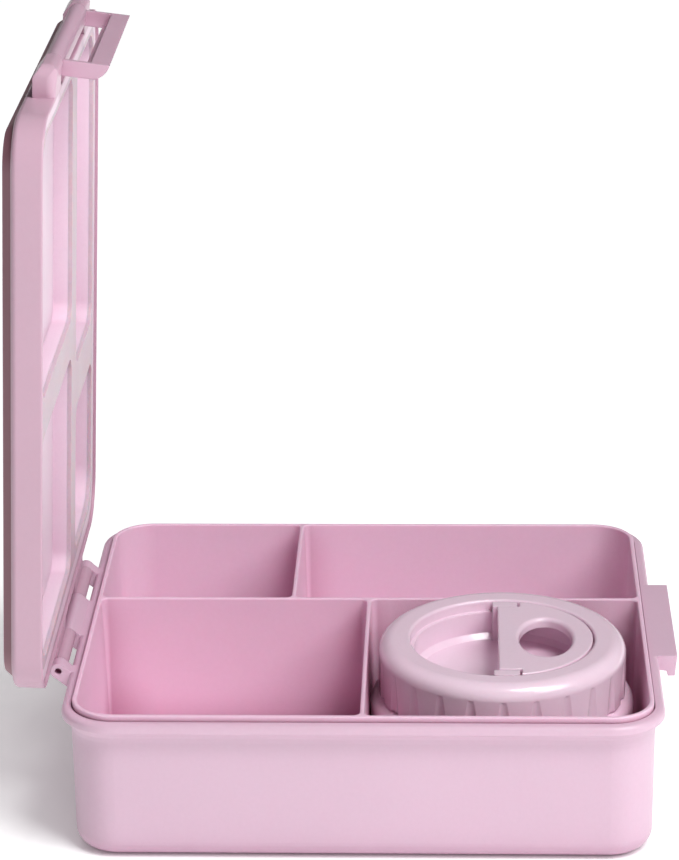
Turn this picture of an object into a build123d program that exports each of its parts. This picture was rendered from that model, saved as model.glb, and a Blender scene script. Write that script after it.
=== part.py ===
from build123d import *
import os
from math import cos, radians, sin

# Bento lunch box with an insulated food jar, stored with its lid open.
# Millimetres, +Z up. The origin is the centre of the base's underside.
# -X is the hinge side, +X the latch side, and the larger front compartments face -Y.

os.makedirs("parts", exist_ok=True)

# ---------------------------------------------------------------- driving dimensions
# base tub
rim_half_x = 110.0
wall_half_x = 106.5
wall_half_y = 93.5
wall_radius = 16.5
wall_draft = 0.4
flare_foot_z = 44.6
flare_top_z = 52.0
flare_steps = 5
ledge_z = 55.4
rim_round = 2.2
base_floor = 2.4
bottom_round = 7.0
cavity_radius = 15.5
rebate_depth = 0.2

# removable tray
lip_top_z = 57.5
lip_half_x = 106.0
lip_half_y = 93.0
lip_radius = 16.0
lip_width = 1.7
lip_gap = 0.4
lip_foot_z = 53.6
lip_round = 0.5
tray_gap = 0.25
tray_wall = 1.1
tray_draft = 1.6
tray_floor = 3.4
divider_y = 15.2
front_divider_x = 0.2
back_divider_x = -29.3
divider_width = 1.6
pocket_radius = 2.6
pocket_floor_round = 2.4

# hinge
hinge_x = -114.2
hinge_z = 55.6
knuckle_radius = 3.0
hinge_pin_radius = 1.25
hinge_half = 50.5
outer_joint_y = 44.0
inner_joint_y = 17.0
knuckle_gap = 0.3
running_fit = 0.07
pin_recess = 2.5
pin_chamfer = 0.3
# arm outlines as (x, z) offsets from the hinge's centre
base_arm = ((-2.1, -2.1), (3.9, -6.9), (6.4, -6.9), (6.4, -0.2), (4.6, -0.2), (1.7, 2.4))
lid_arm = ((-3.0, 0), (-3.0, 2.6), (1.5, 7.0), (7.6, 7.0), (7.6, 0.9), (2.1, 0.9))
lid_flange = ((-1.0, 3.7), (-1.0, 4.8), (1.5, 7.0), (7.6, 7.0), (7.6, 3.7))

# lid, measured closed and then turned open about the hinge
lid_open_angle = 87.5
lid_half_x = 107.25
lid_half_y = 94.25
lid_radius = 17.5
skirt_bottom_z = 56.5
skirt_height = 11.3
lid_height = 14.7
skirt_wall = 1.9
skirt_round = 2.2
panel_inset = 3.4
panel_slope = 2.6
panel_round = 1.2
skirt_lip_round = 0.5
skirt_lip_wall = 1.0
panel_wall = 2.0
panel_hollow_inset = 7.5
skirt_ceiling = 1.6
panel_sink = 0.5
panel_foot_inset = 3.0

# liner and seal inside the lid
liner_gap = 0.35
liner_foot_z = 57.65
liner_wall = 4.5
liner_ceiling_z = 64.8
liner_ceiling = 1.3
seal_thickness = 1.6
seal_margin = 7.4
latch_end_margin = 6.4
seal_gap = 0.1
cell_radius = 7.0
cell_corner = 14.0
rib_y_span = (10.6, 26.0)
front_rib_x_span = (-10.3, 4.4)
back_rib_x_span = (-38.0, -20.4)

# catch on the base and latch clip on the lid
catch_half = 34.0
# outline of the catch block in the XZ plane, with its beak at the lower outer corner
catch_outline = (
    (107.2, 55.4),
    (117.0, 55.4),
    (116.2, 47.3),
    (113.6, 47.3),
    (113.0, 49.3),
    (108.2, 49.9),
    (107.2, 51.3),
)
latch_x = 115.6
latch_z = 59.1
latch_tilt = 5.0
barrel_radius = 3.2
latch_pin_radius = 1.0
latch_half = 38.5
latch_outer = 1.2
latch_inner = -4.5
latch_length = 20.3
grip_round_start = 14.8
grip_round = 7.5
grip_lip = 0.6
window_half = 36.7
window_top = 3.6
window_bottom = 12.9
window_cut = 14.0
relief_right = -3.2
relief_left = -5.7
hook_rib_height = 2.5
hook_rib_width = 1.9
hook_rib_half = 33.5
ear_inner_y = 39.0
ear_outer_y = 57.0
ear_round = 4.5
ear_foot_round = 3.8
ear_root_x = 106.4
ear_foot_z = 55.9
ear_top_z = 64.6
# outline of an ear in the XZ plane, joined to the round of the barrel
ear_outline = (
    (ear_root_x, 56.5),
    (110.0, 56.5),
    (114.4, 56.14),
    (118.8, 59.1),
    (118.8, 61.5),
    (114.4, ear_top_z),
    (ear_root_x, ear_top_z),
)
latch_pin_half = 50.3
latch_bore_half = 50.5

# food jar
jar_x = 51.3
jar_y = -36.4
jar_foot_z = 5.8
body_radius = 49.5
body_wall = 1.7
body_foot_radius = 47.0
foot_wall = 1.6
foot_bore = 44.4
foot_step = 3.2
body_bulge_z = 34.0
body_shoulder_z = 38.4
shoulder_radius = 45.6
shoulder_round = 4.6
shoulder_wall = 1.6
shoulder_z = 42.6
base_disc_radius = 44.2
base_disc_recess = 0.4
base_disc_thickness = 2.2
neck_radius = 41.6
neck_bore = 39.8
neck_top_z = 55.8
flange_radius = 43.2
flange_edge = 0.5
flange_height = 1.6
thread_pitch = 4.0
thread_turns = 1.5
thread_height = 1.2
thread_root = 0.1
thread_root_half = 1.1
thread_crest_half = 0.4
thread_start_rise = 4.4
cup_radius = 39.6
cup_wall = 0.8
cup_floor_z = 10.0
cup_chamfer = 4.0
cup_rim_radius = 41.4

# screw cap and carry handle
cap_radius = 46.3
cap_foot_z = 43.2
cap_top_z = 64.2
cap_bore = 43.7
gasket_bottom_z = 56.6
gasket_top_z = 58.3
gasket_bore = 36.6
recess_radius = 34.5
recess_round = 1.0
well_radius = 33.0
ledge_drop = 4.2
recess_floor_z = 49.4
well_chamfer = 2.0
well_wall = 1.6
shoulder_drop = 5.6
flute_count = 24
flute_depth = 1.1
flute_radius = 5.0
flute_height = 15.0
flute_taper = 3.5
floor_disc_thickness = 1.8
floor_disc_chamfer = 0.6
handle_drop = 0.1
handle_thickness = 3.7
handle_edge = -1.5
strip_edge = 6.9
strip_half = 28.8
handle_radius = 33.9
handle_axis = 2.6
handle_pin_radius = 0.9
handle_pin_spans = ((-32.4, -25.6), (25.6, 32.4))
post_bore_spans = ((-32.5, -27.5), (27.5, 32.5))
post_inner_y = 29.3
post_width = 9.4
post_depth = 4.8
post_shift = -1.2
post_cover = 1.5
finger_hole_centre = 16.2
finger_hole_half_x = 9.9
finger_hole_half_y = 17.0
finger_hole_round = 1.5
handle_round = 0.5


# ---------------------------------------------------------------- shared helpers
def flare_plan(step):
    """Outline of the flared rim at one of its steps, on a hollow quarter curve."""
    turn = radians(90 * step / flare_steps)
    spread = (rim_half_x - wall_half_x) * (1 - cos(turn))
    z = flare_foot_z + (flare_top_z - flare_foot_z) * sin(turn)
    with BuildSketch(Plane.XY.offset(z)) as plan:
        RectangleRounded(2 * (wall_half_x + spread), 2 * (wall_half_y + spread), wall_radius + spread)
    return plan.sketch


def lid_plan(z, inset):
    """Sketch of the lid's outline, moved in by an inset, at a height."""
    with BuildSketch(Plane.XY.offset(z)) as plan:
        RectangleRounded(2 * (lid_half_x - inset), 2 * (lid_half_y - inset), lid_radius - inset)
    return plan.sketch


def cell_plans(z, x_low, x_high, y_low, y_high):
    """Sketch of the four pockets between a lid's ribs, with a wider outer corner each."""
    cells = (
        (x_low, front_rib_x_span[0], y_low, rib_y_span[0]),
        (front_rib_x_span[1], x_high, y_low, rib_y_span[0]),
        (x_low, back_rib_x_span[0], rib_y_span[1], y_high),
        (back_rib_x_span[1], x_high, rib_y_span[1], y_high),
    )
    with BuildSketch(Plane.XY.offset(z)) as plan:
        for x0, x1, y0, y1 in cells:
            with Locations(((x0 + x1) / 2, (y0 + y1) / 2)):
                RectangleRounded(x1 - x0, y1 - y0, cell_radius)
        with Locations(((x_low + x_high) / 2, (y_low + y_high) / 2)):
            RectangleRounded(x_high - x_low, y_high - y_low, cell_corner, mode=Mode.INTERSECT)
    return plan.sketch


def open_lid(solid):
    """Turns a piece of the closed lid to its open position about the hinge."""
    return solid.rotate(Axis((hinge_x, 0, hinge_z), (0, -1, 0)), lid_open_angle)


def hinge_arm(offsets, y_low, y_high):
    """Knuckle on an arm, between two distances along the hinge line."""
    with BuildSketch(Plane.XZ.offset(-y_high)) as side_view:
        with Locations((hinge_x, hinge_z)):
            Circle(knuckle_radius)
        with BuildLine():
            Polyline(*[(hinge_x + x, hinge_z + z) for x, z in offsets], close=True)
        make_face()
    return extrude(side_view.sketch, amount=y_high - y_low)


def tray_pocket(x_low, x_high, y_low, y_high):
    """Solid that cuts one pocket of the tray, with a rounded floor edge."""
    with BuildPart() as pocket:
        with BuildSketch(Plane.XY.offset(lip_top_z)):
            with Locations(((x_low + x_high) / 2, (y_low + y_high) / 2)):
                RectangleRounded(x_high - x_low, y_high - y_low, pocket_radius)
            RectangleRounded(
                2 * pocket_half_x, 2 * pocket_half_y, lip_radius - lip_width, mode=Mode.INTERSECT
            )
        extrude(amount=-(lip_top_z - base_floor - tray_floor), taper=tray_draft)
        fillet(pocket.faces().sort_by(Axis.Z)[0].edges(), radius=pocket_floor_round)
    return pocket.part


def latch_ear(side):
    """One ear of the closed lid, with its outer corner rounded in plan and from the end."""
    y_low = ear_inner_y if side > 0 else -ear_outer_y
    ear_width = ear_outer_y - ear_inner_y
    with BuildPart() as ear:
        with BuildSketch(Plane.XZ.offset(-y_low - ear_width)):
            with Locations((latch_x, latch_z)):
                Circle(barrel_radius)
            with BuildLine():
                Polyline(*ear_outline, close=True)
            make_face()
        extrude(amount=ear_width)
        ear_reach = latch_x + barrel_radius
        with BuildSketch() as ear_plan:
            with Locations(((ear_root_x + ear_reach) / 2, y_low + ear_width / 2)):
                Rectangle(ear_reach - ear_root_x, ear_width)
            far_corners = ear_plan.vertices().sort_by(Axis.X)[-2:]
            fillet(far_corners.sort_by(Axis.Y)[-1 if side > 0 else 0], radius=ear_round)
        extrude(amount=lid_top_z, mode=Mode.INTERSECT)
        with BuildSketch(Plane.YZ) as end_view:
            with Locations((y_low + ear_width / 2, (ear_foot_z + ear_top_z) / 2)):
                Rectangle(ear_width, ear_top_z - ear_foot_z)
            low_corners = end_view.vertices().sort_by(Axis.Y)[:2]
            fillet(low_corners.sort_by(Axis.X)[-1 if side > 0 else 0], radius=ear_foot_round)
        extrude(amount=ear_reach, mode=Mode.INTERSECT)
    return ear.part


skirt_top_z = skirt_bottom_z + skirt_height
lid_top_z = skirt_bottom_z + lid_height
pocket_half_x = lip_half_x - lip_width
pocket_half_y = lip_half_y - lip_width
jar_plane = Plane(origin=(jar_x, jar_y, 0), x_dir=(1, 0, 0), z_dir=(0, -1, 0))
jar_axis = Axis((jar_x, jar_y, 0), (0, 0, 1))


def pin_rod(y_low, y_high, mode=Mode.ADD):
    """Round rod on the handle's axis, between two distances from the jar's centre."""
    with BuildSketch(Plane.XZ.offset(-(jar_y + y_high))) as section:
        with Locations((jar_x + handle_axis, handle_mid_z)):
            Circle(handle_pin_radius)
    extrude(section.sketch, amount=y_high - y_low, mode=mode)


def turned(*points):
    """Revolves a closed outline of (radius, height) points about the jar's axis."""
    with BuildSketch(jar_plane) as outline:
        with BuildLine():
            Polyline(*points, close=True)
        make_face()
    revolve(outline.sketch, axis=jar_axis)


# ---------------------------------------------------------------- base shell
cavity_half_x = lip_half_x - (lip_width - tray_wall) + tray_gap
cavity_half_y = lip_half_y - (lip_width - tray_wall) + tray_gap
rebate_half_x = lip_half_x + lip_gap
rebate_z = lip_foot_z - rebate_depth

with BuildPart() as base_shell:
    with BuildSketch(Plane.XY.offset(flare_foot_z)):
        RectangleRounded(2 * wall_half_x, 2 * wall_half_y, wall_radius)
    extrude(amount=-flare_foot_z, taper=wall_draft)
    fillet(base_shell.faces().sort_by(Axis.Z)[0].edges(), radius=bottom_round)
    # flared rim: hollow curve below, rounded outer edge above
    for step in range(flare_steps):
        loft([flare_plan(step).face(), flare_plan(step + 1).face()])
    extrude(flare_plan(flare_steps), amount=ledge_z - flare_top_z)
    fillet(base_shell.faces().sort_by(Axis.Z)[-1].edges(), radius=rim_round)
    # cavity for the tray, with a wider rebate for the tray's lip
    with BuildSketch(Plane.XY.offset(rebate_z)):
        RectangleRounded(2 * cavity_half_x, 2 * cavity_half_y, cavity_radius)
    extrude(amount=-(rebate_z - base_floor), taper=tray_draft, mode=Mode.SUBTRACT)
    with BuildSketch(Plane.XY.offset(rebate_z)):
        RectangleRounded(2 * rebate_half_x, 2 * (lip_half_y + lip_gap), lip_radius + lip_gap)
    extrude(amount=ledge_z - rebate_z, mode=Mode.SUBTRACT)
    # catch block with a beak that the clip hooks under
    with BuildSketch(Plane.XZ):
        with BuildLine():
            Polyline(*catch_outline, close=True)
        make_face()
    extrude(amount=catch_half, both=True)
    # hinge arms and knuckles: one at each end and a long one in the middle
    hinge_arm(base_arm, -hinge_half, -outer_joint_y - knuckle_gap / 2)
    hinge_arm(base_arm, -inner_joint_y + knuckle_gap / 2, inner_joint_y - knuckle_gap / 2)
    hinge_arm(base_arm, outer_joint_y + knuckle_gap / 2, hinge_half)
    with BuildSketch(Plane.XZ):
        with Locations((hinge_x, hinge_z)):
            Circle(hinge_pin_radius)
    extrude(amount=hinge_half, both=True, mode=Mode.SUBTRACT)

base_shell.part.label = "base_shell"
export_step(base_shell.part, "parts/base_shell.step")

# ---------------------------------------------------------------- hinge pin
with BuildPart() as hinge_pin:
    with BuildSketch(Plane.XZ):
        with Locations((hinge_x, hinge_z)):
            Circle(hinge_pin_radius)
    extrude(amount=hinge_half - pin_recess, both=True)
    chamfer(hinge_pin.edges().filter_by(GeomType.CIRCLE), length=pin_chamfer)

hinge_pin.part.label = "hinge_pin"
export_step(hinge_pin.part, "parts/hinge_pin.step")

# ---------------------------------------------------------------- compartment tray
half_divider = divider_width / 2
pocket_spans = (
    (-pocket_half_x, front_divider_x - half_divider, -pocket_half_y, divider_y - half_divider),
    (front_divider_x + half_divider, pocket_half_x, -pocket_half_y, divider_y - half_divider),
    (-pocket_half_x, back_divider_x - half_divider, divider_y + half_divider, pocket_half_y),
    (back_divider_x + half_divider, pocket_half_x, divider_y + half_divider, pocket_half_y),
)
tray_body_half_x = lip_half_x - (lip_width - tray_wall)
tray_body_half_y = lip_half_y - (lip_width - tray_wall)
tray_pockets = [tray_pocket(*spans) for spans in pocket_spans]

with BuildPart() as compartment_tray:
    with BuildSketch(Plane.XY.offset(lip_foot_z)):
        RectangleRounded(2 * tray_body_half_x, 2 * tray_body_half_y, cavity_radius)
    extrude(amount=-(lip_foot_z - base_floor), taper=tray_draft)
    with BuildSketch(Plane.XY.offset(lip_foot_z)):
        RectangleRounded(2 * lip_half_x, 2 * lip_half_y, lip_radius)
    extrude(amount=lip_top_z - lip_foot_z)
    add(tray_pockets, mode=Mode.SUBTRACT)
    fillet(compartment_tray.faces().sort_by(Axis.Z)[-1].edges(), radius=lip_round)

compartment_tray.part.label = "compartment_tray"
export_step(compartment_tray.part, "parts/compartment_tray.step")

# ---------------------------------------------------------------- lid outer shell
latch_ears = [latch_ear(side) for side in (-1, 1)]

with BuildPart() as lid_outer_shell:
    add(lid_plan(skirt_bottom_z, 0))
    extrude(amount=skirt_height)
    fillet(lid_outer_shell.faces().sort_by(Axis.Z)[-1].edges(), radius=skirt_round)
    fillet(lid_outer_shell.faces().sort_by(Axis.Z)[0].edges(), radius=skirt_lip_round)
    # raised panel with a sloped side
    panel_foot = lid_plan(skirt_top_z - panel_sink, panel_foot_inset).face()
    loft([panel_foot, lid_plan(lid_top_z, panel_inset + panel_slope).face()])
    fillet(lid_outer_shell.faces().sort_by(Axis.Z)[-1].edges(), radius=panel_round)
    # hollow inside, deeper under the panel
    hollow_height = skirt_height - skirt_ceiling
    extrude(lid_plan(skirt_bottom_z, skirt_wall), amount=hollow_height, mode=Mode.SUBTRACT)
    hollow_height = lid_height - panel_wall
    extrude(lid_plan(skirt_bottom_z, panel_hollow_inset), amount=hollow_height, mode=Mode.SUBTRACT)
    # thinner edge that passes outside the tray's lip
    lip_cut = liner_foot_z - skirt_bottom_z
    extrude(lid_plan(skirt_bottom_z, skirt_lip_wall), amount=lip_cut, mode=Mode.SUBTRACT)
    # hinge knuckles on arms from the skirt
    hinge_arm(lid_arm, -outer_joint_y + knuckle_gap / 2, -inner_joint_y - knuckle_gap / 2)
    hinge_arm(lid_arm, inner_joint_y + knuckle_gap / 2, outer_joint_y - knuckle_gap / 2)
    # flange between the arms, clear of the base's middle knuckle
    with BuildSketch(Plane.XZ):
        with BuildLine():
            Polyline(*[(hinge_x + x, hinge_z + z) for x, z in lid_flange], close=True)
        make_face()
    extrude(amount=inner_joint_y + knuckle_gap / 2, both=True)
    with BuildSketch(Plane.XZ):
        with Locations((hinge_x, hinge_z)):
            Circle(hinge_pin_radius + running_fit)
    extrude(amount=hinge_half, both=True, mode=Mode.SUBTRACT)
    # two ears that carry the latch clip
    add(latch_ears)
    with BuildSketch(Plane.XZ):
        with Locations((latch_x, latch_z)):
            Circle(latch_pin_radius)
    extrude(amount=latch_bore_half, both=True, mode=Mode.SUBTRACT)

lid_outer_shell.part = open_lid(lid_outer_shell.part)
lid_outer_shell.part.label = "lid_outer_shell"
export_step(lid_outer_shell.part, "parts/lid_outer_shell.step")

# ---------------------------------------------------------------- lid inner liner
liner_inset = skirt_wall + liner_gap
liner_top_z = liner_ceiling_z + liner_ceiling
cell_low_x = -lid_half_x + liner_inset + seal_margin
cell_high_x = lid_half_x - liner_inset - latch_end_margin
cell_half_y = lid_half_y - liner_inset - seal_margin
seal_back_z = liner_foot_z + seal_thickness

with BuildPart() as lid_inner_liner:
    extrude(lid_plan(liner_foot_z, liner_inset), amount=liner_top_z - liner_foot_z)
    seal_seat = lid_plan(liner_foot_z, liner_inset + liner_wall)
    extrude(seal_seat, amount=seal_thickness, mode=Mode.SUBTRACT)
    cells = cell_plans(seal_back_z, cell_low_x, cell_high_x, -cell_half_y, cell_half_y)
    extrude(cells, amount=liner_ceiling_z - seal_back_z, mode=Mode.SUBTRACT)

lid_inner_liner.part = open_lid(lid_inner_liner.part)
lid_inner_liner.part.label = "lid_inner_liner"
export_step(lid_inner_liner.part, "parts/lid_inner_liner.step")

# ---------------------------------------------------------------- lid seal
seal_inset = liner_inset + liner_wall + seal_gap

with BuildPart() as lid_seal:
    extrude(lid_plan(liner_foot_z, seal_inset), amount=seal_thickness)
    cells = cell_plans(liner_foot_z, cell_low_x, cell_high_x, -cell_half_y, cell_half_y)
    extrude(cells, amount=seal_thickness, mode=Mode.SUBTRACT)

lid_seal.part = open_lid(lid_seal.part)
lid_seal.part.label = "lid_seal"
export_step(lid_seal.part, "parts/lid_seal.step")

# ---------------------------------------------------------------- latch clip and pin
tilt_x = cos(radians(latch_tilt))
tilt_z = -sin(radians(latch_tilt))
latch_plane = Plane(origin=(latch_x, 0, latch_z), x_dir=(tilt_x, 0, tilt_z), z_dir=(0, -1, 0))

with BuildPart() as latch_clip:
    with BuildSketch(latch_plane):
        with BuildLine():
            Line((latch_inner, 0), (latch_outer, 0))
            Line((latch_outer, 0), (latch_outer, -latch_length + grip_lip))
            RadiusArc(
                (latch_outer, -latch_length + grip_lip), (latch_inner, -grip_round_start), grip_round
            )
            Line((latch_inner, -grip_round_start), (latch_inner, 0))
        make_face()
        Circle(barrel_radius)
    extrude(amount=latch_half, both=True)
    # window that frames the catch
    with BuildSketch(latch_plane):
        with Locations((0, -(window_top + window_bottom) / 2)):
            Rectangle(window_cut, window_bottom - window_top)
    extrude(amount=window_half, both=True, mode=Mode.SUBTRACT)
    # room above the plate so that only the barrel lies between the ears
    with BuildSketch(latch_plane):
        with Locations(((relief_left + relief_right) / 2, 0)):
            Rectangle(relief_right - relief_left, 2 * window_top)
    extrude(amount=window_half, both=True, mode=Mode.SUBTRACT)
    # hook rib behind the beak
    with BuildSketch(latch_plane):
        with Locations((latch_inner + hook_rib_width / 2, -window_bottom + hook_rib_height / 2)):
            Rectangle(hook_rib_width, hook_rib_height)
    extrude(amount=hook_rib_half, both=True)
    with BuildSketch(latch_plane):
        Circle(latch_pin_radius + running_fit)
    extrude(amount=latch_half, both=True, mode=Mode.SUBTRACT)

latch_clip.part = open_lid(latch_clip.part)
latch_clip.part.label = "latch_clip"
export_step(latch_clip.part, "parts/latch_clip.step")

with BuildPart() as latch_pin:
    with BuildSketch(Plane.XZ):
        with Locations((latch_x, latch_z)):
            Circle(latch_pin_radius)
    extrude(amount=latch_pin_half, both=True)

latch_pin.part = open_lid(latch_pin.part)
latch_pin.part.label = "latch_pin"
export_step(latch_pin.part, "parts/latch_pin.step")

# ---------------------------------------------------------------- food jar body
shell_bore = body_radius - body_wall
foot_inside = body_foot_radius - foot_wall
step_z = jar_foot_z + foot_step
under_shoulder_z = shoulder_z - shoulder_wall
inner_shoulder_z = body_shoulder_z - 0.2

with BuildPart() as jar_outer_shell:
    with BuildSketch(jar_plane):
        with BuildLine():
            Polyline(
                (neck_bore, under_shoulder_z),
                (foot_bore, under_shoulder_z),
                (shell_bore, inner_shoulder_z),
                (shell_bore, body_bulge_z),
                (foot_inside, step_z),
                (foot_bore, step_z),
                (foot_bore, jar_foot_z),
                (foot_inside, jar_foot_z),
            )
            RadiusArc(
                (foot_inside, jar_foot_z), (body_foot_radius, jar_foot_z + foot_wall), -foot_wall
            )
            Line((body_foot_radius, jar_foot_z + foot_wall), (body_radius, body_bulge_z))
            Line((body_radius, body_bulge_z), (body_radius, body_shoulder_z))
            RadiusArc(
                (body_radius, body_shoulder_z), (shoulder_radius, shoulder_z), -shoulder_round
            )
            Line((shoulder_radius, shoulder_z), (neck_bore, shoulder_z))
            Line((neck_bore, shoulder_z), (neck_bore, under_shoulder_z))
        make_face()
    revolve(axis=jar_axis)

jar_outer_shell.part.label = "jar_outer_shell"
export_step(jar_outer_shell.part, "parts/jar_outer_shell.step")

base_disc_z = jar_foot_z + base_disc_recess

with BuildPart() as jar_base_disc:
    turned(
        (0, base_disc_z),
        (base_disc_radius, base_disc_z),
        (base_disc_radius, base_disc_z + base_disc_thickness),
        (0, base_disc_z + base_disc_thickness),
    )

jar_base_disc.part.label = "jar_base_disc"
export_step(jar_base_disc.part, "parts/jar_base_disc.step")

with BuildPart() as jar_inner_liner:
    turned(
        (0, cup_floor_z),
        (cup_radius - cup_chamfer, cup_floor_z),
        (cup_radius, cup_floor_z + cup_chamfer),
        (cup_radius, neck_top_z),
        (cup_rim_radius, neck_top_z),
        (cup_rim_radius, neck_top_z + cup_wall),
        (cup_radius - cup_wall, neck_top_z + cup_wall),
        (cup_radius - cup_wall, cup_floor_z + cup_chamfer + cup_wall / 2),
        (cup_radius - cup_chamfer - cup_wall / 2, cup_floor_z + cup_wall),
        (0, cup_floor_z + cup_wall),
    )

jar_inner_liner.part.label = "jar_inner_liner"
export_step(jar_inner_liner.part, "parts/jar_inner_liner.step")

thread_foot = (jar_x, jar_y, shoulder_z + thread_start_rise)
thread_corner = (jar_x + neck_radius, jar_y, shoulder_z + thread_start_rise)
with BuildLine(Plane(origin=thread_foot)) as thread_path:
    Helix(pitch=thread_pitch, height=thread_turns * thread_pitch, radius=neck_radius - thread_root)
with BuildSketch(Plane(origin=thread_corner, x_dir=(1, 0, 0), z_dir=(0, -1, 0))) as thread_profile:
    with BuildLine():
        Polyline(
            (-thread_root, -thread_root_half),
            (thread_height, -thread_crest_half),
            (thread_height, thread_crest_half),
            (-thread_root, thread_root_half),
            close=True,
        )
    make_face()

with BuildPart() as jar_neck_ring:
    turned(
        (neck_bore, shoulder_z),
        (flange_radius, shoulder_z),
        (flange_radius, shoulder_z + flange_edge),
        (neck_radius, shoulder_z + flange_height),
        (neck_radius, neck_top_z),
        (neck_bore, neck_top_z),
    )
    # one and a half turns of external thread
    sweep(thread_profile.sketch, path=thread_path.wires()[0], is_frenet=True)

jar_neck_ring.part.label = "jar_neck_ring"
export_step(jar_neck_ring.part, "parts/jar_neck_ring.step")

# ---------------------------------------------------------------- screw cap
with BuildPart() as cap_gasket:
    turned(
        (gasket_bore, gasket_bottom_z),
        (neck_radius, gasket_bottom_z),
        (neck_radius, gasket_top_z),
        (gasket_bore, gasket_top_z),
    )

cap_gasket.part.label = "cap_gasket"
export_step(cap_gasket.part, "parts/cap_gasket.step")

handle_mid_z = cap_top_z - handle_drop - handle_thickness / 2
cap_ledge_z = cap_top_z - ledge_drop
cap_shoulder_z = cap_top_z - shoulder_drop
cap_crown_radius = cap_radius - shoulder_drop
well_outer = well_radius + well_wall
well_underside_z = recess_floor_z - well_wall

with BuildPart() as cap_shell:
    with BuildSketch(jar_plane):
        with BuildLine():
            Line((cap_bore, cap_foot_z), (cap_radius, cap_foot_z))
            Line((cap_radius, cap_foot_z), (cap_radius, cap_shoulder_z))
            RadiusArc((cap_radius, cap_shoulder_z), (cap_crown_radius, cap_top_z), -shoulder_drop)
            Line((cap_crown_radius, cap_top_z), (recess_radius + recess_round, cap_top_z))
            RadiusArc(
                (recess_radius + recess_round, cap_top_z),
                (recess_radius, cap_top_z - recess_round),
                -recess_round,
            )
            Polyline(
                (recess_radius, cap_top_z - recess_round),
                (recess_radius, cap_ledge_z),
                (well_radius, cap_ledge_z),
                (well_radius, recess_floor_z + well_chamfer),
                (well_radius - well_chamfer, recess_floor_z),
                (0, recess_floor_z),
                (0, well_underside_z),
                (well_outer, well_underside_z),
                (well_outer, gasket_top_z),
                (cap_bore, gasket_top_z),
                (cap_bore, cap_foot_z),
            )
        make_face()
    revolve(axis=jar_axis)
    # shallow grip flutes that run out below the shoulder
    with BuildSketch(Plane.XY.offset(cap_foot_z)):
        with Locations((jar_x, jar_y)):
            with PolarLocations(cap_radius + flute_radius - flute_depth, flute_count):
                Circle(flute_radius)
    extrude(amount=flute_height, taper=flute_taper, mode=Mode.SUBTRACT)
    # posts in the well that hold the handle's pins
    for side in (-1, 1):
        with BuildSketch(Plane.XY.offset(recess_floor_z)):
            post_x = jar_x + handle_axis + post_shift
            with Locations((post_x, jar_y + side * (post_inner_y + post_depth / 2))):
                Rectangle(post_width, post_depth)
            with Locations((jar_x, jar_y)):
                Circle(well_radius + well_wall / 2, mode=Mode.INTERSECT)
        extrude(amount=handle_mid_z + post_cover - recess_floor_z)
    for span in post_bore_spans:
        pin_rod(*span, mode=Mode.SUBTRACT)

cap_shell.part.label = "cap_shell"
export_step(cap_shell.part, "parts/cap_shell.step")

floor_disc_z = well_underside_z - floor_disc_thickness

with BuildPart() as cap_floor_disc:
    turned(
        (0, floor_disc_z),
        (well_outer - floor_disc_chamfer, floor_disc_z),
        (well_outer, floor_disc_z + floor_disc_chamfer),
        (well_outer, well_underside_z),
        (0, well_underside_z),
    )

cap_floor_disc.part.label = "cap_floor_disc"
export_step(cap_floor_disc.part, "parts/cap_floor_disc.step")

front_span, back_span = handle_pin_spans

with BuildPart() as handle_pin_front:
    pin_rod(*front_span)

handle_pin_front.part.label = "handle_pin_front"
export_step(handle_pin_front.part, "parts/handle_pin_front.step")

with BuildPart() as handle_pin_back:
    pin_rod(*back_span)

handle_pin_back.part.label = "handle_pin_back"
export_step(handle_pin_back.part, "parts/handle_pin_back.step")

# ---------------------------------------------------------------- carry handle
with BuildPart() as carry_handle:
    with BuildSketch(Plane.XY.offset(handle_mid_z - handle_thickness / 2)):
        with Locations((jar_x, jar_y)):
            Circle(handle_radius)
        with Locations((jar_x + strip_edge - handle_radius, jar_y)):
            Rectangle(2 * handle_radius, 2 * handle_radius, mode=Mode.SUBTRACT)
        with Locations((jar_x + (handle_edge + strip_edge) / 2, jar_y)):
            Rectangle(strip_edge - handle_edge, 2 * strip_half)
        with Locations((jar_x + finger_hole_centre, jar_y)):
            Ellipse(finger_hole_half_x, finger_hole_half_y, mode=Mode.SUBTRACT)
    extrude(amount=handle_thickness)
    top_face = carry_handle.faces().sort_by(Axis.Z)[-1]
    fillet(top_face.outer_wire().edges(), radius=handle_round)
    top_face = carry_handle.faces().sort_by(Axis.Z)[-1]
    fillet(top_face.inner_wires()[0].edges(), radius=finger_hole_round)
    with BuildSketch(Plane.XZ.offset(-jar_y)):
        with Locations((jar_x + handle_axis, handle_mid_z)):
            Circle(handle_pin_radius + running_fit)
    extrude(amount=strip_half, both=True, mode=Mode.SUBTRACT)

carry_handle.part.label = "carry_handle"
export_step(carry_handle.part, "parts/carry_handle.step")
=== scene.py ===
import math

import bpy
from mathutils import Matrix, Vector


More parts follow.
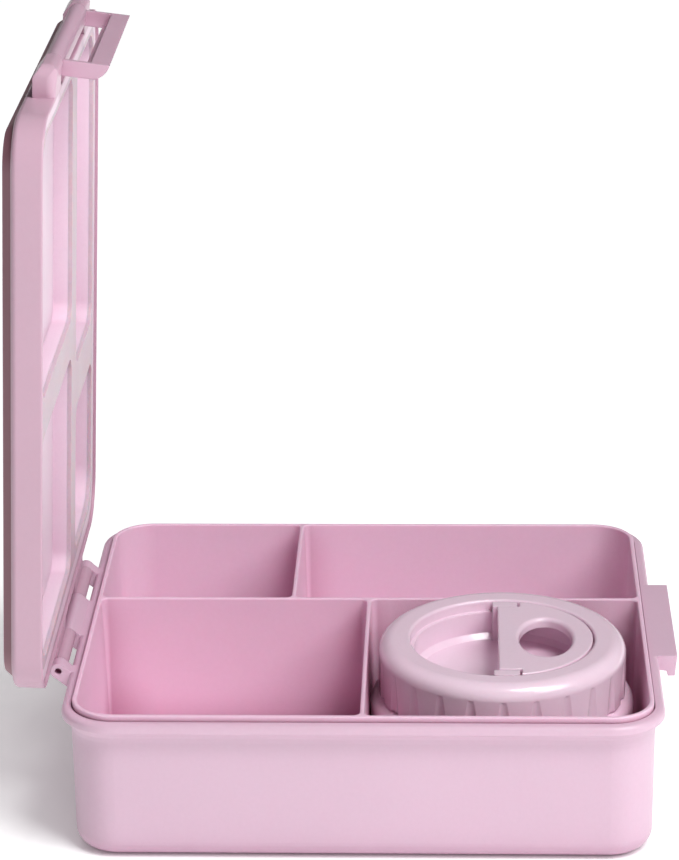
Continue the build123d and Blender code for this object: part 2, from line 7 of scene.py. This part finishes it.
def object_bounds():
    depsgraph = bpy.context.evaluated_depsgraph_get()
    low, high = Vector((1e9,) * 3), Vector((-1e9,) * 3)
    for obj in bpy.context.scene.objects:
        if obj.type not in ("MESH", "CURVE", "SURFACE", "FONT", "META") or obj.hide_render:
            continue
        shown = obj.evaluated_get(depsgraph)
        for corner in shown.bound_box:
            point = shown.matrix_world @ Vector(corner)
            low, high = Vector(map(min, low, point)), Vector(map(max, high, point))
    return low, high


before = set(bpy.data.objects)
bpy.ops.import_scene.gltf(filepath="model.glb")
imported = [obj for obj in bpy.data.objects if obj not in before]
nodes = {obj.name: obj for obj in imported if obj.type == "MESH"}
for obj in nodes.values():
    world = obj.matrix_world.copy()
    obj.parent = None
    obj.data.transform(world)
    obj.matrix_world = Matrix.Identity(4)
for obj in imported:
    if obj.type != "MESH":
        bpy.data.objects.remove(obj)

# Bento lunch box, looks only: materials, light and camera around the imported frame.
# Every length is in metres.
cad_low, cad_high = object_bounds()
scene = bpy.context.scene

WHITE = (1, 1, 1, 1)

# a colour Mix node's sockets, by number because its other data types share their names
MIX_FACTOR, MIX_FIRST, MIX_SECOND, MIX_RESULT = 0, 6, 7, 2

# nearly all of a noise texture's values lie between these two
NOISE_LOW, NOISE_HIGH = 0.3, 0.7

# moulded plastic
DRIFT_SCALE = 14
SPECK_SCALE = 620
SPECK_STRENGTH = 0.3
# lighter edges: rubbing wear and painted highlight
EDGE_RADIUS = 0.0007
EDGE_FLAT, EDGE_SHARP = 0.995, 0.8
RUB_AND_HIGHLIGHT_SCALE = 180
RUBBED_AND_HIGHLIGHT_LIGHTER = 1.2
# painted shade in corners, by ambient occlusion
CORNER_REACH = 0.02
CORNER_DARK, CORNER_OPEN = 0.25, 0.85
POLISH_SCALE = 32
POLISH_BELOW, POLISH_ABOVE = 0.03, 0.04
WAVE_SCALE = 22
WAVE_HEIGHT = 0.00012
GRAIN_HEIGHT = 0.00003

# silicone and steel
CLOUD_SCALE = 60
DUST_SCALE = 900
SILICONE_GRAIN_SCALE = 500
LINE_SCALE = 30
LINE_HEIGHT = 0.00002

# the open lid in the frame's rest pose, and the sloped ring on it, which gets painted shade
LID_HINGE = Vector((-0.1142, 0, 0.0556))
LID_OPEN_ANGLE = math.radians(87.5)
SLOPE_LOW, SLOPE_HIGH = 0.0121, 0.0157
SLOPE_STEEPEST, SLOPE_FLATTEST = 0.3, 0.8

# floor paper and its glow
FLOOR_HALF = 6.0
FLOOR_GAP = 0.0002
FIBRE_SCALE = 300
GLOW_NEAR, GLOW_BEHIND = 0.54, 0.85
GLOW_BEHIND_AT = 0.8
FAR_GLOW_FROM, FAR_GLOW_TO = 0.7, 2.4
CONTACT_REACH = 0.06

# camera, solved from the photograph's edges: angles in degrees, lens and sensor in millimetres
CAMERA_YAW, CAMERA_PITCH, CAMERA_ROLL = 2.159, 20.334, -0.692
CAMERA_PLACE = Vector((0.03433, -1.17724, 0.56960))
CAMERA_LENS = 139.18
CAMERA_SENSOR = 36
CAMERA_NEAR, CAMERA_FAR = 0.05, 50


# ------------------------------------------------------------------ node helpers
def srgb(red, green, blue):
    """Linear colour from display values between 0 and 255."""
    channels = []
    for value in (red, green, blue):
        value /= 255
        channels.append(value / 12.92 if value <= 0.04045 else ((value + 0.055) / 1.055) ** 2.4)
    return (*channels, 1.0)


def scaled(colour, factor):
    """The same colour made lighter or darker."""
    return (*[min(1.0, channel * factor) for channel in colour[:3]], 1.0)


class Tree:
    """A material's node tree, with short calls to add and link nodes."""

    def __init__(self, name):
        self.material = bpy.data.materials.new(name)
        self.material.use_nodes = True
        self.nodes = self.material.node_tree.nodes
        self.links = self.material.node_tree.links
        self.shader = self.nodes["Principled BSDF"]
        self.place = self.add("ShaderNodeTexCoord").outputs["Object"]

    def add(self, kind, **settings):
        made = self.nodes.new(kind)
        for key, value in settings.items():
            setattr(made, key, value)
        return made

    def link(self, source, target):
        self.links.new(source, target)

    def feed(self, name, source):
        """Links a socket to one of the shader's own inputs."""
        self.link(source, self.shader.inputs[name])

    def stretched(self, scale):
        """Object coordinates, scaled differently along each axis."""
        mapping = self.add("ShaderNodeMapping")
        mapping.inputs["Scale"].default_value = scale
        self.link(self.place, mapping.inputs["Vector"])
        return mapping.outputs["Vector"]

    def noise(self, scale, detail, rough=0.5, vector=None):
        made = self.add("ShaderNodeTexNoise")
        made.inputs["Scale"].default_value = scale
        made.inputs["Detail"].default_value = detail
        made.inputs["Roughness"].default_value = rough
        self.link(self.place if vector is None else vector, made.inputs["Vector"])
        return made.outputs["Fac"]

    def ramp(self, source, low, low_colour, high, high_colour):
        """Colour ramp between two colours at two positions."""
        made = self.add("ShaderNodeValToRGB")
        for element, position, colour in zip(
            made.color_ramp.elements, (low, high), (low_colour, high_colour)
        ):
            element.position = position
            element.color = colour
        self.link(source, made.inputs["Fac"])
        return made.outputs["Color"]

    def tint(self, noise, colour, darker, lighter):
        """A colour that drifts between a darker and a lighter shade of itself."""
        return self.ramp(noise, NOISE_LOW, scaled(colour, darker),
                         NOISE_HIGH, scaled(colour, lighter))

    def remap(self, source, from_low, from_high, to_low, to_high, kind="LINEAR"):
        """Maps one range of values to another, clamped at both ends."""
        made = self.add("ShaderNodeMapRange", interpolation_type=kind)
        made.inputs["From Min"].default_value = from_low
        made.inputs["From Max"].default_value = from_high
        made.inputs["To Min"].default_value = to_low
        made.inputs["To Max"].default_value = to_high
        self.link(source, made.inputs["Value"])
        return made.outputs["Result"]

    def spread(self, noise, low, high):
        """Maps a noise to a range of values."""
        return self.remap(noise, NOISE_LOW, NOISE_HIGH, low, high)

    def math(self, operation, first, second):
        made = self.add("ShaderNodeMath", operation=operation)
        self.link(first, made.inputs[0])
        self.link(second, made.inputs[1])
        return made.outputs["Value"]

    def mix(self, factor, first, second, blend="MIX"):
        """Blends two colours; each argument is a socket or a constant."""
        made = self.add("ShaderNodeMix", data_type="RGBA", blend_type=blend)
        for source, number in (
            (factor, MIX_FACTOR), (first, MIX_FIRST), (second, MIX_SECOND),
        ):
            if isinstance(source, bpy.types.NodeSocket):
                self.link(source, made.inputs[number])
            else:
                made.inputs[number].default_value = source
        return made.outputs[MIX_RESULT]

    def openness(self, distance, samples):
        """Ambient occlusion: 1 in the open, towards 0 in corners narrower than the distance."""
        made = self.add("ShaderNodeAmbientOcclusion", samples=samples)
        made.inputs["Distance"].default_value = distance
        return made.outputs["AO"]

    def bump(self, height, distance, strength, normal=None):
        made = self.add("ShaderNodeBump")
        made.inputs["Distance"].default_value = distance
        made.inputs["Strength"].default_value = strength
        self.link(height, made.inputs["Height"])
        if normal is not None:
            self.link(normal, made.inputs["Normal"])
        return made.outputs["Normal"]

    def set(self, **values):
        """Sets constants on the shader's own sockets."""
        for key, value in values.items():
            self.shader.inputs[key.replace("_", " ")].default_value = value


def moulded_plastic(name, colour, rough, grain_scale=1400, scatter=0.12,
                    gloss=0.5, coat=0.0, wear_and_highlight=0.5, corner_shade=(0.8, 0.68, 0.74, 1)):
    """Moulded plastic: drifting tint, fine specks and grain, edges lightened by rubbing and
    painted highlight, painted shade in corners.

    The roughness range of a plastic ends at or below 0.26, or starts above 0.285, because
    in between the render's denoiser leaves hard-edged patches.
    """
    tree = Tree(name)
    tint = tree.tint(tree.noise(DRIFT_SCALE, detail=3.0), colour, 0.975, 1.02)
    speck = tree.noise(SPECK_SCALE, detail=4.0, rough=0.6)
    specks = tree.ramp(speck, 0.35, (0.95, 0.93, 0.94, 1), 0.65, WHITE)
    tint = tree.mix(SPECK_STRENGTH, tint, specks, "MULTIPLY")
    # rubbed edges and painted highlight: lighter where the rounded normal leaves the surface's
    # own
    bevel = tree.add("ShaderNodeBevel", samples=4)
    bevel.inputs["Radius"].default_value = EDGE_RADIUS
    geometry = tree.add("ShaderNodeNewGeometry")
    facing = tree.add("ShaderNodeVectorMath", operation="DOT_PRODUCT")
    tree.link(bevel.outputs["Normal"], facing.inputs[0])
    tree.link(geometry.outputs["Normal"], facing.inputs[1])
    edge = tree.remap(facing.outputs["Value"], EDGE_FLAT, EDGE_SHARP, 0.0, wear_and_highlight)
    rubbed_and_highlight = tree.math("MULTIPLY", edge, tree.noise(RUB_AND_HIGHLIGHT_SCALE, detail=3.0, rough=0.6))
    tint = tree.mix(rubbed_and_highlight, tint, scaled(colour, RUBBED_AND_HIGHLIGHT_LIGHTER))
    # painted shade: a deeper, redder tint in corners that little light reaches
    opened = tree.openness(CORNER_REACH, samples=6)
    painted_corner_shade = tree.ramp(opened, CORNER_DARK, corner_shade, CORNER_OPEN, WHITE)
    tree.feed("Base Color", tree.mix(1.0, tint, painted_corner_shade, "MULTIPLY"))
    # roughness drifts where hands have polished it
    polish = tree.noise(POLISH_SCALE, detail=3.0)
    tree.feed("Roughness", tree.spread(polish, rough - POLISH_BELOW, rough + POLISH_ABOVE))
    # fine grain, and the slow waves of a moulded wall
    grain = tree.bump(tree.noise(grain_scale, detail=2.0), GRAIN_HEIGHT, strength=0.6,
                      normal=bevel.outputs["Normal"])
    waves = tree.bump(tree.noise(WAVE_SCALE, detail=1.0), WAVE_HEIGHT, strength=0.2, normal=grain)
    tree.feed("Normal", waves)
    tree.set(Subsurface_Weight=scatter, Subsurface_Scale=0.003, Specular_IOR_Level=gloss,
             Subsurface_Radius=(1.0, 0.45, 0.6), Coat_Weight=coat, Coat_Roughness=0.12)
    return tree.material


def silicone(name, colour, clear):
    """Translucent silicone, slightly cloudy and dusty."""
    tree = Tree(name)
    cloud = tree.noise(CLOUD_SCALE, detail=3.0)
    tint = tree.tint(cloud, colour, 0.94, 1.04)
    speck = tree.noise(DUST_SCALE, detail=3.0, rough=0.7)
    dust = tree.ramp(speck, 0.4, (0.9, 0.9, 0.9, 1), 0.6, WHITE)
    tree.feed("Base Color", tree.mix(0.5, tint, dust, "MULTIPLY"))
    tree.feed("Roughness", tree.spread(cloud, 0.34, 0.5))
    grain = tree.noise(SILICONE_GRAIN_SCALE, detail=2.0)
    tree.feed("Normal", tree.bump(grain, GRAIN_HEIGHT, strength=0.5))
    tree.set(Subsurface_Weight=0.35, Subsurface_Scale=0.004, Transmission_Weight=clear, IOR=1.41)
    return tree.material


def steel(name, colour, rough, stretch):
    """Steel with fine lines left by brushing or drawing."""
    tree = Tree(name)
    lines = tree.noise(LINE_SCALE, detail=6.0, rough=0.7, vector=tree.stretched(stretch))
    tree.feed("Base Color", tree.tint(lines, colour, 0.82, 1.05))
    tree.feed("Roughness", tree.spread(lines, rough - 0.06, rough + 0.1))
    tree.feed("Normal", tree.bump(lines, LINE_HEIGHT, strength=0.4))
    tree.set(Metallic=1.0)
    return tree.material


def dress(name, material):
    """Gives a CAD node's object a material."""
    shown = nodes[name]
    shown.data.materials.clear()
    shown.data.materials.append(material)
    for polygon in shown.data.polygons:
        polygon.material_index = 0


# ------------------------------------------------------------------ materials
base_plastic = moulded_plastic("base_plastic", srgb(222, 189, 208), 0.33)
tray_plastic = moulded_plastic("tray_plastic", srgb(240, 201, 222), 0.34, scatter=0.2, wear_and_highlight=1.6,
                               corner_shade=(0.6, 0.4, 0.48, 1))
lid_plastic = moulded_plastic("lid_plastic", srgb(206, 170, 188), 0.33)
# painted shade: a darker pink standing for the shade on the lid's sloped ring
slope_painted_shade_plastic = moulded_plastic("slope_painted_shade_plastic", srgb(150, 104, 116), 0.42)
liner_plastic = moulded_plastic("liner_plastic", srgb(236, 215, 228), 0.5, gloss=0.3)
latch_plastic = moulded_plastic("latch_plastic", srgb(212, 176, 195), 0.33)
jar_plastic = moulded_plastic("jar_plastic", srgb(252, 218, 236), 0.32, scatter=0.2,
                              corner_shade=(1, 0.97, 0.99, 1))
cap_plastic = moulded_plastic("cap_plastic", srgb(238, 213, 228), 0.22, grain_scale=2200,
                              coat=0.35, corner_shade=(1, 0.92, 0.96, 1))
seal_silicone = silicone("seal_silicone", srgb(211, 188, 199), 0.05)
gasket_silicone = silicone("gasket_silicone", srgb(222, 212, 218), 0.15)
cup_steel = steel("cup_steel", srgb(200, 200, 203), 0.36, (1.0, 1.0, 60.0))
# painted shade: the hinge pin's dark pink stands for the shade inside its recess
shaded_pin_plastic = moulded_plastic("shaded_pin_plastic", srgb(150, 96, 120), 0.4)
pin_steel = steel("pin_steel", srgb(190, 190, 194), 0.36, (60.0, 1.0, 60.0))

for group, material in (
    (("base_shell",), base_plastic),
    (("compartment_tray",), tray_plastic),
    (("lid_outer_shell",), lid_plastic),
    (("lid_inner_liner",), liner_plastic),
    (("latch_clip",), latch_plastic),
    (("jar_outer_shell", "jar_base_disc", "jar_neck_ring"), jar_plastic),
    (("cap_shell", "cap_floor_disc", "carry_handle"), cap_plastic),
    (("lid_seal",), seal_silicone),
    (("cap_gasket",), gasket_silicone),
    (("jar_inner_liner",), cup_steel),
    (("hinge_pin",), shaded_pin_plastic),
    (("latch_pin", "handle_pin_front", "handle_pin_back"), pin_steel),
):
    for name in group:
        dress(name, material)

# painted shade: a deeper tone on the sloped ring between the lid's shoulder and its raised panel,
# told from the rest by its height over the hinge line and its slope, both measured square to the
# lid
lid_shell = nodes["lid_outer_shell"].data
lid_shell.materials.append(slope_painted_shade_plastic)
lid_up = Vector((-math.sin(LID_OPEN_ANGLE), 0, math.cos(LID_OPEN_ANGLE)))
for polygon in lid_shell.polygons:
    height = (polygon.center - LID_HINGE).dot(lid_up)
    upward = polygon.normal.dot(lid_up)
    if SLOPE_LOW < height < SLOPE_HIGH and SLOPE_STEEPEST < upward < SLOPE_FLATTEST:
        polygon.material_index = 1


# ------------------------------------------------------------------ floor
floor_mesh = bpy.data.meshes.new("floor")
floor_corners = [
    (x * FLOOR_HALF, y * FLOOR_HALF, cad_low.z - FLOOR_GAP)
    for x, y in ((-1, -1), (1, -1), (1, 1), (-1, 1))
]
floor_mesh.from_pydata(floor_corners, [], [(0, 1, 2, 3)])
floor = bpy.data.objects.new("floor", floor_mesh)
scene.collection.objects.link(floor)

floor_tree = Tree("studio_paper")
paper = floor_tree.ramp(floor_tree.noise(FIBRE_SCALE, detail=3.0),
                        NOISE_LOW, (0.9, 0.9, 0.905, 1), NOISE_HIGH, (0.94, 0.94, 0.94, 1))
floor_tree.feed("Base Color", paper)
# the paper glows, more behind the box (towards +Y) than in front of it
apart = floor_tree.add("ShaderNodeSeparateXYZ")
floor_tree.link(floor_tree.place, apart.inputs["Vector"])
glow = floor_tree.remap(apart.outputs["Y"], 0.0, GLOW_BEHIND_AT, GLOW_NEAR, GLOW_BEHIND,
                        "SMOOTHSTEP")
# far from the box it is as light on every side, so that other views end in white too
reach = floor_tree.add("ShaderNodeVectorMath", operation="LENGTH")
floor_tree.link(floor_tree.place, reach.inputs[0])
far_glow = floor_tree.remap(reach.outputs["Value"], FAR_GLOW_FROM, FAR_GLOW_TO, 0.0, 1.0,
                            "SMOOTHSTEP")
lit = floor_tree.math("MAXIMUM", glow, far_glow)
# a soft contact shade round the foot of the box
opened = floor_tree.openness(CONTACT_REACH, samples=8)
shaded = floor_tree.math("MULTIPLY", opened, lit)
floor_tree.feed("Emission Color", paper)
floor_tree.feed("Emission Strength", shaded)
floor_tree.set(Roughness=0.9, Specular_IOR_Level=0.1)
floor_mesh.materials.append(floor_tree.material)


# ------------------------------------------------------------------ light
def softbox(name, place, target, width, height, power):
    """Rectangular area light aimed at a point."""
    data = bpy.data.lights.new(name, "AREA")
    data.shape = "RECTANGLE"
    data.size = width
    data.size_y = height
    data.energy = power
    lamp = bpy.data.objects.new(name, data)
    lamp.location = place
    lamp.rotation_mode = "QUATERNION"
    lamp.rotation_quaternion = (Vector(target) - Vector(place)).to_track_quat("-Z", "Y")
    scene.collection.objects.link(lamp)


middle = (cad_low + cad_high) / 2
softbox("key_softbox", (1.3, -1.0, 1.6), middle, 1.1, 1.1, 26)
softbox("top_softbox", (0.5, -0.6, 1.45), middle, 0.55, 0.4, 12)
softbox("front_softbox", (0.3, -2.2, 0.9), middle, 1.4, 0.9, 3)

world = bpy.data.worlds.new("studio")
world.use_nodes = True
background = world.node_tree.nodes["Background"]
background.inputs["Color"].default_value = WHITE
background.inputs["Strength"].default_value = 0.05
scene.world = world
scene.view_settings.view_transform = "Standard"


# ------------------------------------------------------------------ camera
yaw, pitch, roll = (math.radians(angle) for angle in (CAMERA_YAW, CAMERA_PITCH, CAMERA_ROLL))
forward = Vector((
    -math.sin(yaw) * math.cos(pitch),
    math.cos(yaw) * math.cos(pitch),
    -math.sin(pitch),
))
level_right = Vector((math.cos(yaw), math.sin(yaw), 0))
level_up = level_right.cross(forward)
right = level_right * math.cos(roll) + level_up * math.sin(roll)
up = level_up * math.cos(roll) - level_right * math.sin(roll)

camera_data = bpy.data.cameras.new("camera")
camera_data.sensor_width = CAMERA_SENSOR
camera_data.lens = CAMERA_LENS
camera_data.clip_start = CAMERA_NEAR
camera_data.clip_end = CAMERA_FAR
camera = bpy.data.objects.new("camera", camera_data)
camera.matrix_world = Matrix((
    (right.x, up.x, -forward.x, CAMERA_PLACE.x),
    (right.y, up.y, -forward.y, CAMERA_PLACE.y),
    (right.z, up.z, -forward.z, CAMERA_PLACE.z),
    (0, 0, 0, 1),
))
scene.collection.objects.link(camera)
scene.camera = camera
